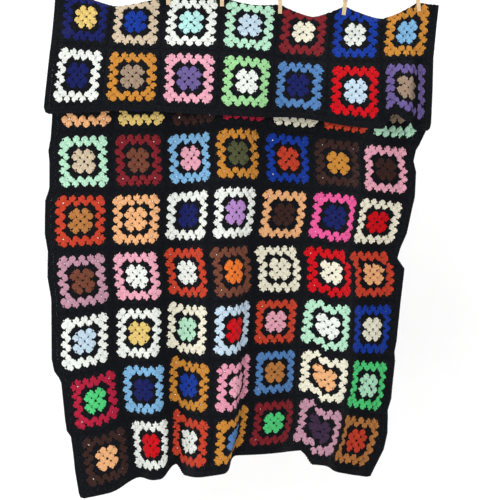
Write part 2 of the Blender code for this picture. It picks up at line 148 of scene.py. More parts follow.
# A row for each turn of the cloth, where it swings back (a positive angle) or forward. Its place and its
# half width are in columns, and its angle in degrees, first high on the layer and then at its hem. The rise
# is the step in the hem there, in millimetres.
Turn = namedtuple("Turn", "column_high column_hem half_width angle_high angle_hem rise")
MAIN_TURNS = (
    Turn(0.70, 0.80, 0.36, 6, 34, 16),
    Turn(1.45, 1.35, 0.24, -8, -42, -14),
    Turn(2.05, 1.95, 0.26, 12, 48, 34),
    Turn(2.30, 2.30, 0.12, 0, 0, -28),
    Turn(2.75, 2.55, 0.34, -34, -48, -10),
    Turn(3.75, 3.55, 0.26, 40, 78, 36),
    Turn(4.85, 4.95, 0.30, -36, -62, 0),
    Turn(5.42, 5.42, 0.12, 0, 0, -38),
    Turn(5.95, 6.10, 0.34, 48, 62, -10),
    Turn(6.75, 6.80, 0.26, -32, -52, 8),
)
FLAP_TURNS = (
    Turn(0.45, 0.20, 0.30, 30, 10, 0),
    Turn(1.10, 1.00, 0.30, -28, -8, 0),
    Turn(3.60, 3.75, 0.30, 14, 24, 0),
    Turn(4.40, 4.30, 0.30, -16, -22, 0),
    Turn(5.60, 5.90, 0.30, 18, 12, 0),
    Turn(6.12, 6.12, 0.12, 0, 0, 38),
    Turn(6.20, 6.25, 0.20, -10, -16, 0),
    Turn(6.36, 6.36, 0.12, 0, 0, -18),
    Turn(6.62, 6.64, 0.12, 40, 66, -20),
    Turn(6.92, 7.00, 0.20, -34, -58, 0),
)
TURNS_START_BELOW_FOLD = 0.3

# A row for each peg: where it stands along the fold and how high the cloth's top edge is there, how far the
# edge sags before the next peg, all in millimetres, and how far the peg leans, in degrees.
Peg = namedtuple("Peg", "across top sag lean")
PEGS = (
    Peg(-427, 20, 39, 2),
    Peg(-146, 1, 8, -3),
    Peg(0, -3.2, 11, 0),
    Peg(157, -23, 32, 1),
    Peg(332, -27, 40, 8),
    Peg(529, -17, 0, -6),
)

# The grid on which the sections across the cloth are worked out
GRID_STEPS = 40
GRID_MARGIN = 0.2
STATION_STEP = 0.05
SLOPE_STEP = 0.01
LAST_CELL = 1.001

# The pegs, as in the solids
PEG_WIDTH = 10.4 * MM
JAW_CLEARANCE = 0.35 * MM
JAW_DEPTH = 29.0 * MM
TIP_THICKNESS = 2.6 * MM
JAW_THICKNESS = 5.0 * MM
CHEEK_HEIGHT = -13.0 * MM
LINE_RADIUS = 1.8 * MM
LINE_ABOVE_CLOTH = 3.2 * MM
LEG_HALF_GAP = 0.4 * MM
SPRING_HEIGHT = 9.0 * MM
SPRING_RADIUS = 3.3 * MM
SPRING_WIRE = 0.8 * MM
SPRING_TURNS = 3.5
SPRING_HOOK = 3.0 * MM
WAIST_THICKNESS = 8.2 * MM
HANDLE_TOP = 49.0 * MM
HANDLE_INNER = 4.2 * MM
HANDLE_OUTER = 9.0 * MM

# Finer steps than the solids have
ARC_STEPS = 14
SPRING_STEPS_PER_TURN = 24
LEG_BEVEL = 0.5 * MM
LEG_BEVEL_SEGMENTS = 2
LEG_SHARP_ANGLE = math.radians(35)

# The yarns, as they look in daylight: red, green and blue from 0 to 255
YARNS = {
    "black": (13, 15, 20),
    "white": (228, 233, 227),
    "cream": (229, 225, 204),
    "yellow": (218, 190, 112),
    "gold": (192, 130, 52),
    "orange": (226, 116, 44),
    "peach": (228, 170, 120),
    "beige": (204, 186, 160),
    "tan": (156, 134, 114),
    "ochre": (176, 116, 62),
    "brown": (112, 64, 48),
    "dark_brown": (56, 34, 30),
    "rust": (190, 62, 40),
    "red": (196, 8, 22),
    "crimson": (170, 28, 58),
    "maroon": (122, 30, 38),
    "hot_pink": (224, 86, 148),
    "pink": (226, 162, 180),
    "rose": (222, 148, 170),
    "mauve": (184, 138, 156),
    "purple": (106, 90, 148),
    "lavender": (176, 134, 196),
    "plum": (56, 38, 62),
    "navy": (20, 28, 90),
    "royal": (18, 54, 150),
    "blue": (80, 124, 178),
    "sky": (124, 176, 216),
    "pale_blue": (188, 210, 226),
    "aqua": (178, 228, 224),
    "light_green": (154, 210, 148),
    "mint": (176, 222, 194),
    "green": (78, 200, 120),
    "olive": (78, 82, 52),
}

# Each square's two yarns, frame and centre, from left to right
SQUARE_YARNS = {
    "B": "white/navy gold/tan pink/purple light_green/white blue/navy red/pale_blue purple/tan",
    "A": "navy/yellow beige/royal white/aqua mint/pale_blue maroon/cream royal/white gold/sky",
    "under": "rose/cream sky/gold cream/crimson green/white rust/beige pale_blue/navy brown/pink",
    "C": "peach/brown yellow/royal dark_brown/gold crimson/white cream/purple rust/mint mint/tan",
    "D": "mint/beige maroon/brown sky/pink gold/olive royal/rust dark_brown/gold pink/dark_brown",
    "E": "rust/ochre peach/peach white/navy white/lavender peach/dark_brown hot_pink/navy cream/red",
    "F": "mauve/brown pink/white rust/white brown/orange cream/cream red/cream rust/peach",
    "G": "white/pale_blue white/yellow cream/mint pale_blue/red rust/pink mint/white royal/cream",
    "H": "crimson/green sky/navy gold/royal rose/pink blue/ochre cream/peach green/mint",
    "I": "dark_brown/peach white/red rust/white gold/blue maroon/green mauve/plum ochre/rust",
}

# The crochet, counted in half squares from a square's middle: where each round ends, how far its clusters
# spread to either side, and which yarn it has
Round = namedtuple("Round", "edge spread yarn")
ROUNDS = (
    Round(0.24, 0.076, "centre"),
    Round(0.395, 0.079, "centre"),
    Round(0.555, 0.092, "black"),
    Round(0.675, 0.079, "frame"),
    Round(0.838, 0.079, "frame"),
    Round(0.96, 0.096, "black"),
)
# Counted likewise: from one cluster to the next, the middle ring, and how far past a corner its clusters
# start and its chain reaches
PITCH = 0.305
RING = 0.045
CORNER_START = 0.035
CHAIN_REACH = 0.024
# How deep a cluster starts in the round before, and how long its outer posts are, as shares
BASE_INSET = 0.42
OUTER_POST_LENGTH = 0.90

# A row for each ring of a post: how far along it lies, how much of the spread it has, and its half width
# across and half thickness, in millimetres
PostRing = namedtuple("PostRing", "along spread width thickness")
POST_RINGS = (
    PostRing(0.0, 0.20, 2.4, 1.4),
    PostRing(0.32, 0.64, 3.2, 1.9),
    PostRing(0.72, 1.0, 3.5, 2.0),
    PostRing(1.0, 0.72, 2.5, 1.6),
)

# The strand over a cluster's top: sideways place as a share of the spread, and place beyond the top
ARCH = ((-1.10, -0.062), (-0.80, -0.020), (0.0, 0.010), (0.80, -0.020), (1.10, -0.062))
ARCH_WIDTH = 1.7 * MM
ARCH_THICKNESS = 1.9 * MM
CORNER_CHAIN_WIDTH = 1.2 * MM
STRAND_END = 0.8
TUBE_SIDES = 4
TWIST_LENGTH = 9.0 * MM

# The unevenness of hand work: how far clusters wander in half squares, how much posts vary, how thick the
# thickest is, how much squares turn and vary in size, and how loose they are towards their middles
PLACE_JITTER = 0.010
SIZE_JITTER = 0.06
THICKEST = 1.05
SQUARE_TURN = math.radians(1.1)
SQUARE_SCALE = 0.01
LOOSENESS = 1.6
SEED = 7

# How flat a peg squeezes the stitches, and where that starts to fade and over how far, in columns and rows
PINCHED_SHARE = 0.82
PINCH_ACROSS = (0.05, 0.12)
PINCH_DOWN = (0.15, 0.15)

# The black ground that shows between the stitches, painted shade where it fills the gaps between coloured
# stitches, its gaps placed as shares of a square, and the rows where its even lines give way to the fold's
GROUND_THICKNESS = 1.6 * MM
GROUND_CELLS = 10
GAP_PLACES = (0.194, 0.806)
GAP_HALF_WIDTH = 0.015
GAP_SPACE = 2.5 * GAP_HALF_WIDTH
FOLD_STEPS = 8
FLAP_LINES_END = FOLD_STATION - 0.35
MAIN_LINES_START = FOLD_STATION + 0.17

# The edging: where its rounds of posts start and end, as shares of its width, how much the posts lean in
# millimetres, and how the corners and their fans of posts are drawn in
EDGE_POST_PITCH = 4.7 * MM
EDGE_ROUNDS = ((-0.20, 0.50), (0.45, 0.97))
EDGE_POST_WIDTH = 2.25 * MM
EDGE_POST_THICKNESS = 1.8 * MM
EDGE_POST_RINGS = (0.75, 1.0, 1.0, 0.8)
EDGE_LEAN = 0.35
EDGE_STAGGER = 0.25
EDGE_CORNER = 0.72
EDGING_GROUND_SHARE = 0.94
FAN_ANGLES = (9, 27, 45, 63, 81)
FAN_REACH = 0.9

# The picture's frame at the cloth, and the camera's distance from it
VIEW_WIDTH = 1.350
VIEW_CENTRE_X = 0.0756
VIEW_CENTRE_Z = -0.6863
CAMERA_DISTANCE = 5.0

# The pale sheet of the studio: its floor, the bend behind the blanket and the wall above
FLOOR_BELOW = 0.10
FLOOR_FRONT = -3.5
BACKDROP_BEHIND = 1.2
BACKDROP_TOP = 2.5
BACKDROP_HALF_WIDTH = 4.0
BACKDROP_BEND = 0.5
BACKDROP_STEPS = 12
PAPER_VALUE = 0.86

# The lamps: where each stands, its width and height, its power, where it points and its tint. The first two
# light the blanket, the others the backdrop.
VIEW_MIDDLE = (VIEW_CENTRE_X, 0.0, VIEW_CENTRE_Z)
PLAIN = (1.0, 1.0, 1.0)
SKY_STRENGTH = 0.40
Lamp = namedtuple("Lamp", "name place size power target tint")
LAMPS = (
    Lamp("key", (-1.0, -2.8, -0.1), (1.4, 1.0), 41.0, VIEW_MIDDLE, (1.0, 0.985, 0.96)),
    Lamp("fill", (1.9, -2.2, -0.5), (1.6, 1.6), 13.0, VIEW_MIDDLE, (0.96, 0.98, 1.0)),
    Lamp("paper_left", (-1.9, -0.2, 0.8), (0.8, 2.0), 40.0, (0.3, 1.2, -0.7), PLAIN),
    Lamp("paper_right", (2.1, -0.2, 0.8), (0.8, 2.0), 40.0, (-0.2, 1.2, -0.7), PLAIN),
)


def add_object(name, data):
    thing = bpy.data.objects.new(name, data)
    bpy.context.collection.objects.link(thing)
    return thing


def smooth_step(t):
    """Eases from 0 to 1."""
    t = np.clip(t, 0.0, 1.0)
    return t * t * (3.0 - 2.0 * t)


def smooth_curve(where, knots, values):
    """A smooth curve through the values at the knots, straight beyond its ends."""
    where, knots, values = (np.asarray(part, float) for part in (where, knots, values))
    slopes = np.gradient(values, knots)
    inside = np.clip(where, knots[0], knots[-1])
    k = np.clip(np.searchsorted(knots, inside) - 1, 0, len(knots) - 2)
    span = knots[k + 1] - knots[k]
    t = (inside - knots[k]) / span
    start = (1 + 2 * t) * (1 - t) ** 2 * values[k] + t * (1 - t) ** 2 * span * slopes[k]
    end = t * t * (3 - 2 * t) * values[k + 1] - t * t * (1 - t) * span * slopes[k + 1]
    beyond = np.where(where < knots[0], slopes[0], slopes[-1]) * (where - inside)
    return start + end + beyond


def peg_columns():
    """Where each peg stands, counted in columns from the left."""
    stations, columns, across = SECTIONS[:3]
    fold = np.argmin(np.abs(stations - FOLD_STATION))
    return np.interp([peg.across * MM for peg in PEGS], across[fold], columns)


def fold_sag(u):
    """How far the fold hangs below straight lines from peg to peg."""
    columns = peg_columns()
    sag = 0.0
    for peg, start, end in zip(PEGS, columns, columns[1:]):
        t = np.clip((u - start) / (end - start), 0.0, 1.0)
        sag = sag + peg.sag * MM * (1 - np.abs(2 * t - 1) ** SAG_POWER)
    return sag


def fold_top(u):
    """Height of the middle of the cloth's thickness along the fold."""
    columns = peg_columns()
    tops = [peg.top * MM - THICKNESS / 2 for peg in PEGS]
    outside = np.maximum(columns[0] - u, 0.0) + np.maximum(u - columns[-1], 0.0)
    return np.interp(u, columns, tops) - fold_sag(u) - END_DROOP_PER_COLUMN * outside


def fold_radius(u):
    """Radius of the fold to the middle of the thickness: tight at a peg, and opened by the sag between."""
    nearest = np.min([np.abs(u - column) for column in peg_columns()], axis=0) * SQUARE
    opened = smooth_step((nearest - PINCHED_REACH) / PINCHED_REACH)
    wide = FOLD_RADIUS_SETTLED + OPENED_BY_SAG * fold_sag(u)
    return FOLD_RADIUS_PINCHED + (wide - FOLD_RADIUS_PINCHED) * opened


def seam_height(u, station):
    """Height of a seam of the table, run through the columns' middles with the turns' steps between."""
    seam = next(row for row in SEAMS if row.station == station)
    middles = np.arange(COLUMNS) + HALF
    smooth_part = np.array(seam.heights) - turn_rise(middles, station)
    return (smooth_curve(u, middles, smooth_part) + turn_rise(u, station)) * MM


def bend_length(u):
    """Cloth taken by the half circle of the fold, less the height it covers."""
    return fold_radius(u) * (math.pi / 2 - 1)


def cloth_below_fold(u, station):
    """Cloth between the fold and a seam of the table."""
    return fold_top(u) - seam_height(u, station) + bend_length(u)


def behind_row_drop(u):
    """Height of a row of the main layer between the fold and the first seam below it in the table."""
    return cloth_below_fold(u, BEHIND_STATION) / (BEHIND_STATION - FOLD_ROW)


def flap_drop_at_fold(u):
    """Height of a row of the flap right at the fold, where rows crowd together as the fold sags."""
    spare = cloth_below_fold(u, FLAP_STATION) - FLAP_ROW_DROP * (FOLD_ROW - FLAP_STATION)
    return FLAP_ROW_DROP + spare / CROWDED_ROWS


def flap_length(u, rows):
    """Cloth from the fold to a point some rows down the flap."""
    near = flap_drop_at_fold(u)
    crowded = np.minimum(rows, 2 * CROWDED_ROWS)
    grown = (FLAP_ROW_DROP - near) * crowded**2 / (4 * CROWDED_ROWS)
    return near * crowded + grown + FLAP_ROW_DROP * (rows - crowded)


def flap_rows(u, length):
    """How many rows of the flap a short length from the fold takes, the reverse of flap_length."""
    near = flap_drop_at_fold(u)
    return 2 * length / (near + np.sqrt(near**2 + (FLAP_ROW_DROP - near) * length / CROWDED_ROWS))


def station_of(v):
    """The station of a point: its row, but stretched so that the fold is at station 2."""
    rows = (-1, FLAP_STATION, FOLD_ROW, BEHIND_STATION, ROWS + 1)
    return np.interp(v, rows, (-1, FLAP_STATION, FOLD_STATION, BEHIND_STATION, ROWS + 1))


def main_share(station):
    """How far down the main layer a station is: 0 down to its upper rows and 1 at the hem."""
    return np.clip((station - MIDDLE_STATION) / (LAST_STATION - MIDDLE_STATION), 0.0, 1.0)


def turn_angle(u, station):
    """How far the cloth is turned away from facing the front, in radians."""
    angle = np.zeros_like(u)
    if station < FOLD_STATION:
        grown = smooth_step((FOLD_STATION - TURNS_START_BELOW_FOLD - station) / FLAP_STATION)
        share = np.clip((FOLD_STATION - station) / FOLD_STATION, 0.0, 1.0)
        turns = FLAP_TURNS
    else:
        start = FOLD_STATION + TURNS_START_BELOW_FOLD
        grown = smooth_step((station - start) / (BEHIND_STATION - start))
        share = main_share(station)
        turns = MAIN_TURNS
    for turn in turns:
        column = turn.column_high + (turn.column_hem - turn.column_high) * share
        size = turn.angle_high + (turn.angle_hem - turn.angle_high) * share
        angle += math.radians(size) * grown * np.exp(-(((u - column) / turn.half_width) ** 2))
    return angle


def turn_rise(u, station):
    """Height that a layer's turns add towards its hem, stepping up or down at each."""
    on_flap = station < FOLD_STATION
    share = np.clip(FLAP_STATION - station, 0.0, 1.0) if on_flap else main_share(station)
    height = np.zeros_like(u, dtype=float)
    for turn in FLAP_TURNS if on_flap else MAIN_TURNS:
        column = turn.column_high + (turn.column_hem - turn.column_high) * share
        height += turn.rise * share * smooth_step(((u - column) / turn.half_width + 1) / 2)
    return height


def work_out_sections():
    """Sections across the cloth, from its turns, its sides and its columns' middles: places and depths."""
    stations = np.arange(-GRID_MARGIN, ROWS + GRID_MARGIN, STATION_STEP)
    columns = np.linspace(-GRID_MARGIN, COLUMNS + GRID_MARGIN, (COLUMNS + 1) * GRID_STEPS + 1)
    knots = [side.station for side in SIDES]
    left = np.interp(stations, knots, [side.left * MM for side in SIDES])
    right = np.interp(stations, knots, [side.right * MM for side in SIDES])
    step = columns[1] - columns[0]
    across, depth = [], []
    for row, station in enumerate(stations):
        angle = turn_angle(columns, station)
        x = np.cumsum(np.cos(angle)) * step
        y = np.cumsum(np.sin(angle)) * step * SQUARE
        first, last = np.interp((0, COLUMNS), columns, x)
        share = (x - first) / (last - first)
        across.append(left[row] + (right[row] - left[row]) * share)
        start, end = np.interp((0, COLUMNS), columns, y)
        y = y - (start + (end - start) * share)
        depth.append(y - y.mean())
    across = np.array(across)
    return stations, columns, across + middle_pulls(stations, columns, across), np.array(depth)


def middle_pulls(stations, columns, across):
    """How far the columns' middles pull each section sideways from its even spacing."""
    middles = np.arange(COLUMNS) + HALF
    pulls = []
    for row in MIDDLES:
        even = across[np.argmin(np.abs(stations - row.station))]
        pull = np.array(row.across) * MM - np.interp(middles, columns, even)
        pulls.append(smooth_curve(columns, (0.0, *middles, COLUMNS), (0.0, *pull, 0.0)))
    knots = [row.station for row in MIDDLES]
    return np.array([np.interp(stations, knots, pull) for pull in np.transpose(pulls)]).T


SECTIONS = work_out_sections()


def read_grid(grid, station, u):
    """The value of a grid of sections at any station and column."""
    stations, columns = SECTIONS[:2]
    i = np.clip((station - stations[0]) / STATION_STEP, 0, len(stations) - LAST_CELL)
    j = np.clip((u - columns[0]) / (columns[1] - columns[0]), 0, len(columns) - LAST_CELL)
    row = i.astype(int)
    column = j.astype(int)
    a = i - row
    b = j - column
    low, high = (grid[k, column] * (1 - b) + grid[k, column + 1] * b for k in (row, row + 1))
    return low * (1 - a) + high * a


def table_height(u, station):
    """Height away from the fold, from the seams of the table."""
    knots = np.array([seam.station for seam in SEAMS], float)
    heights = np.array([seam_height(u, seam.station) for seam in SEAMS])
    k = np.clip(np.searchsorted(knots, station, side="right") - 1, 0, len(knots) - 2)
    t = (station - knots[k]) / (knots[k + 1] - knots[k])
    point = np.arange(len(u))
    return heights[k, point] * (1 - t) + heights[k + 1, point] * t


def middle_points(u, v):
    """Points on the middle of the cloth's thickness, u columns across and v rows from the flap's hem."""
    radius = fold_radius(u)
    on_flap = v < FOLD_ROW
    rows = np.abs(v - FOLD_ROW)
    along = np.where(on_flap, flap_length(u, rows), rows * behind_row_drop(u))
    bend = radius * math.pi / 2
    turn = np.minimum(along, bend) / radius
    below = radius * (1 - np.cos(turn)) + np.maximum(along - bend, 0.0)
    apart = radius * np.sin(turn)
    apart += (FOLD_RADIUS_SETTLED - radius) * smooth_step((rows - SETTLES_FROM) / SETTLES_OVER)
    station = station_of(v)
    near_fold = (v > FLAP_STATION) & (v < BEHIND_STATION)
    z = np.where(near_fold, fold_top(u) - below, table_height(u, station))
    x = read_grid(SECTIONS[2], station, u)
    rows_below = FOLD_STATION - TURNS_START_BELOW_FOLD - station
    stand_off = FLAP_STAND_OFF * smooth_step(rows_below / STAND_OFF_REACH)
    y = read_grid(SECTIONS[3], station, u) + np.where(on_flap, -apart - stand_off, apart)
    return np.stack([x, y, z], axis=-1)


def cloth_points(u, v):
    """Middle points and unit normals, for lists of columns and rows."""
    across = middle_points(u + SLOPE_STEP, v) - middle_points(u - SLOPE_STEP, v)
    down = middle_points(u, v + SLOPE_STEP) - middle_points(u, v - SLOPE_STEP)
    normal = np.cross(across, down)
    normal /= np.linalg.norm(normal, axis=-1, keepdims=True)
    return middle_points(u, v), normal


def linear(channel):
    """A channel from 0 to 255 as it looks, turned into the share of light that it reflects."""
    value = channel / 255
    return value / 12.92 if value <= 0.04045 else ((value + 0.055) / 1.055) ** 2.4


def set_inputs(node, values):
    for name, value in values.items():
        node.inputs[name].default_value = value


def add_node(tree, kind, **settings):
    node = tree.nodes.new(kind)
    for name, value in settings.items():
        setattr(node, name, value)
    return node


def noise(tree, vector, scale, detail, roughness=0.5):
    node = add_node(tree, "ShaderNodeTexNoise")
    set_inputs(node, {"Scale": scale, "Detail": detail, "Roughness": roughness})
    tree.links.new(vector, node.inputs["Vector"])
    return node.outputs["Fac"]


def paint(tree, shader, pattern, stops):
    """Colours a surface by a pattern, through a ramp whose stops are pairs of a place and a colour."""
    ramp = add_node(tree, "ShaderNodeValToRGB")
    first, last = ramp.color_ramp.elements
    first.position, last.position = stops[0][0], stops[-1][0]
    first.color, last.color = (*stops[0][1], 1.0), (*stops[-1][1], 1.0)
    for place, colour in stops[1:-1]:
        ramp.color_ramp.elements.new(place).color = (*colour, 1.0)
    tree.links.new(pattern, ramp.inputs["Fac"])
    tree.links.new(ramp.outputs["Color"], shader.inputs["Base Color"])


def bump(tree, shader, height, strength, distance):
    """Raises a surface by a pattern, on top of any bump that it has."""
    node = add_node(tree, "ShaderNodeBump")
    set_inputs(node, {"Strength": strength, "Distance": distance})
    tree.links.new(height, node.inputs["Height"])
    surface = shader.inputs["Normal"]
    if surface.is_linked:
        tree.links.new(surface.links[0].from_socket, node.inputs["Normal"])
    tree.links.new(node.outputs["Normal"], surface)


def start_material(name, shine):
    """A new material with its shader set, and the place on the object that its patterns follow."""
    material = bpy.data.materials.new(name)
    material.use_nodes = True
    tree = material.node_tree
    shader = tree.nodes["Principled BSDF"]
    set_inputs(shader, shine)
    place = add_node(tree, "ShaderNodeTexCoord").outputs["Object"]
    return material, tree, shader, place


def yarn_material(name):
    """Plied acrylic yarn: soft fibres, slightly uneven dye and a fuzz that catches the light."""
    colour = [linear(channel) for channel in YARNS[name]]
    sheen = 0.06 if name != "black" else 0.02
    shine = {"Roughness": 0.92, "Specular IOR Level": 0.12, "Sheen Weight": sheen, "Sheen Roughness": 0.45}
    material, tree, shader, place = start_material(f"yarn_{name}", shine)
    tone = noise(tree, place, scale=160.0, detail=3.0, roughness=0.6)
    shade = [channel * 0.80 for channel in colour]
    light = [min(channel * 1.08 + 0.004, 0.92) for channel in colour]
    paint(tree, shader, tone, [(0.30, shade), (0.52, colour), (0.72, light)])
    ply = add_node(tree, "ShaderNodeTexWave", wave_type="BANDS", bands_direction="DIAGONAL")
    set_inputs(ply, {"Scale": 1.0, "Distortion": 0.6})
    tree.links.new(add_node(tree, "ShaderNodeUVMap", uv_map="strand").outputs["UV"], ply.inputs["Vector"])
    bump(tree, shader, ply.outputs["Fac"], strength=0.45, distance=0.6 * MM)
    fibres = noise(tree, place, scale=1500.0, detail=3.0, roughness=0.7)
    bump(tree, shader, fibres, strength=0.35, distance=0.3 * MM)
    return material


def painted_shade_ground_material(name):
    """A black sheet behind the stitches, seen only as soft dark fuzz: painted shade in the gaps between
    coloured stitches, and the black yarn's own colour under the black rounds and the edging.
    """
    shine = {"Roughness": 0.95, "Specular IOR Level": 0.1, "Sheen Weight": 0.02}
    material, tree, shader, place = start_material(name, shine)
    # Painted shade: the black yarn's colour laid behind every stitch, so that the gaps between them look
    # dark
    colour = [linear(channel) for channel in YARNS["black"]]
    tone = noise(tree, place, scale=260.0, detail=3.0, roughness=0.6)
    paint(tree, shader, tone, [(0.35, [0.7 * c for c in colour]), (0.7, [1.3 * c for c in colour])])
    knots = noise(tree, place, scale=420.0, detail=2.0)
    bump(tree, shader, knots, strength=0.8, distance=0.8 * MM)
    return material


def wood_material(name):
    """Plain beech: straight pale grain along the peg, with fine pores."""
    material, tree, shader, place = start_material(name, {"Roughness": 0.62})
    stretch = add_node(tree, "ShaderNodeMapping")
    set_inputs(stretch, {"Scale": (1.0, 1.0, 0.08)})
    tree.links.new(place, stretch.inputs["Vector"])
    grain = noise(tree, stretch.outputs["Vector"], scale=900.0, detail=4.0, roughness=0.6)
    pores = noise(tree, stretch.outputs["Vector"], scale=2600.0, detail=2.0)
    pale, middle, dark = (0.76, 0.60, 0.38), (0.66, 0.48, 0.28), (0.50, 0.33, 0.17)
    paint(tree, shader, grain, [(0.30, dark), (0.52, middle), (0.72, pale)])
    bump(tree, shader, pores, strength=0.25, distance=0.15 * MM)
    return material


def steel_material(name):
    """Drawn spring wire with a little tarnish."""
    material, tree, shader, place = start_material(name, {"Metallic": 1.0})
    tarnish = noise(tree, place, scale=700.0, detail=3.0, roughness=0.6)
    paint(tree, shader, tarnish, [(0.35, (0.36, 0.36, 0.36)), (0.65, (0.62, 0.63, 0.64))])
    rough = add_node(tree, "ShaderNodeMapRange")
    set_inputs(rough, {"To Min": 0.24, "To Max": 0.42})
    tree.links.new(tarnish, rough.inputs["Value"])
    tree.links.new(rough.outputs["Result"], shader.inputs["Roughness"])
    return material


def clear_from_behind(tree, shader):
    """Makes the far side of the backdrop clear, so that the blanket's back can be seen."""
    side = add_node(tree, "ShaderNodeNewGeometry")
    clear = add_node(tree, "ShaderNodeBsdfTransparent")
    mix = add_node(tree, "ShaderNodeMixShader")
    link = tree.links.new
    link(side.outputs["Backfacing"], mix.inputs["Fac"])
    link(shader.outputs["BSDF"], mix.inputs[1])
    link(clear.outputs["BSDF"], mix.inputs[2])
    link(mix.outputs["Shader"], tree.nodes["Material Output"].inputs["Surface"])


def paper_material(name):
    """Matt studio paper, very slightly uneven."""
    material, tree, shader, place = start_material(name, {"Roughness": 0.95})
    soft = noise(tree, place, scale=3.0, detail=1.0)
    paint(tree, shader, soft, [(0.2, [PAPER_VALUE] * 3), (0.8, [PAPER_VALUE * 0.99] * 3)])
    clear_from_behind(tree, shader)
    return material


MATERIALS = {}


def material_of(name, make=yarn_material):
    """The material of this name, made the first time that it is asked for."""
    if name not in MATERIALS:
        MATERIALS[name] = make(name)
    return MATERIALS[name]


Tubes = namedtuple("Tubes", "path normal width thickness yarn")


def tube_rings(tubes):
    """The corners of many tubes at once: an array of tubes, rings, sides and coordinates."""
    side = np.cross(np.gradient(tubes.path, axis=1), tubes.normal)
    side /= np.linalg.norm(side, axis=-1, keepdims=True)
    corner_across = np.array((1, -1, -1, 1))[:, None]
    corner_proud = np.array((1, 1, -1, -1))[:, None]
    across = corner_across * side[:, :, None] * tubes.width[:, :, None, None]
    proud = corner_proud * tubes.normal[:, :, None] * tubes.thickness[:, :, None, None]
    return tubes.path[:, :, None] + across + proud


def tube_faces(count, rings, start):
    """Faces of the tubes as lists of corners: the walls, and the caps at both ends."""
    tube = np.arange(count)[:, None, None] * rings * TUBE_SIDES + start
    ring = np.arange(rings - 1)[None, :, None] * TUBE_SIDES
    side = np.arange(TUBE_SIDES)[None, None, :]
    after = (side + 1) % TUBE_SIDES
    this_ring = tube + ring
    next_ring = this_ring + TUBE_SIDES
    walls = np.stack([this_ring + side, this_ring + after, next_ring + after, next_ring + side], axis=-1)
    first = np.arange(TUBE_SIDES)[::-1]
    last = (rings - 1) * TUBE_SIDES + np.arange(TUBE_SIDES)
    starts = tube.reshape(-1, 1)
    return walls.reshape(-1, 4), np.concatenate([starts + first, starts + last])


def tube_places(tubes):
    """For each wall's corner, its turn round the strand and its twists along it."""
    count, rings = tubes.path.shape[:2]
    steps = np.linalg.norm(np.diff(tubes.path, axis=1), axis=-1) / TWIST_LENGTH
    along = np.concatenate([np.zeros((count, 1)), np.cumsum(steps, axis=1)], axis=1)
    side = np.arange(TUBE_SIDES) / TUBE_SIDES
    place = np.zeros((count, rings - 1, TUBE_SIDES, 4, 2))
    place[..., (0, 3), 0] = side[:, None]
    place[..., (1, 2), 0] = side[:, None] + 1 / TUBE_SIDES
    place[..., (0, 1), 1] = along[:, :-1, None, None]
    place[..., (2, 3), 1] = along[:, 1:, None, None]
    return place.reshape(-1, 2)


def strands_object(name, batches):
    """One object of many closed tubes, each with the material of its yarn."""
    names = sorted({yarn for tubes in batches for yarn in tubes.yarn})
    corners, faces, slots, places = [], [], [], []
    start = 0
    for tubes in batches:
        count, rings = tubes.path.shape[:2]
        corners.append(tube_rings(tubes).reshape(-1, 3))
        walls, caps = tube_faces(count, rings, start)
        faces += [walls, caps]
        slot = np.array([names.index(yarn) for yarn in tubes.yarn])
        slots += [np.repeat(slot, (rings - 1) * TUBE_SIDES), np.concatenate([slot, slot])]
        places += [tube_places(tubes), np.zeros((len(caps) * TUBE_SIDES, 2))]
        start += count * rings * TUBE_SIDES
    mesh = bpy.data.meshes.new(name)
    mesh.from_pydata(np.concatenate(corners).tolist(), [], np.concatenate(faces).tolist())
    for yarn in names:
        mesh.materials.append(material_of(yarn))
    mesh.polygons.foreach_set("material_index", np.concatenate(slots).astype(np.int32))
    layer = mesh.uv_layers.new(name="strand")
    layer.data.foreach_set("uv", np.concatenate(places).astype(np.float32).ravel())
    mesh.shade_smooth()
    mesh.update()
    return add_object(name, mesh)


def cluster_ends(number, k):
    """Where cluster k of a round's side starts and ends, with the side at the top."""
    top = ((k - (number - 1) / 2) * PITCH, ROUNDS[number - 1].edge)
    if number == 1:
        return (0.0, RING), top
    if k in (0, number - 1):
        return (top[0], abs(top[0]) + CORNER_START), top
    before = ROUNDS[number - 2].edge
    inner = ROUNDS[number - 3].edge
    return (top[0], before - BASE_INSET * (before - inner)), top


def turned(points, quarter):
    """Points of a side at the top turned to another side of the square."""
    x, y = points[..., 0], points[..., 1]
    sides = ((x, y), (-y, x), (-x, -y), (y, -x))
    return np.stack(sides[quarter], axis=-1)


def cluster_shapes(number, k):
    """Flat paths of a cluster's three posts and of the strand over their tops."""
    base, top = (np.array(place) for place in cluster_ends(number, k))
    spread = ROUNDS[number - 1].spread
    length = np.linalg.norm(top - base)
    ahead = (top - base) / length
    aside = np.array([ahead[1], -ahead[0]])
    posts = []
    for post in (-1, 0, 1):
        reach = length * (OUTER_POST_LENGTH if post else 1.0)
        rings = [ahead * ring.along * reach + aside * post * ring.spread * spread for ring in POST_RINGS]
        posts.append([base + ring for ring in rings])
    arch = [top + aside * side * spread + ahead * beyond for side, beyond in ARCH]
    return np.array(posts), np.array(arch)


def corner_chain(number):
    """Flat path of the chain across a round's corner, which holds the next round's corner clusters."""
    edge, spread = ROUNDS[number - 1][:2]
    beside = (number - 1) / 2 * PITCH + spread
    corner = number / 2 * PITCH
    turn = (corner, corner + CHAIN_REACH)
    start = (beside, max(edge, beside + spread) - 2 * CHAIN_REACH)
    return np.array([start, turn, turn[::-1], start[::-1]])


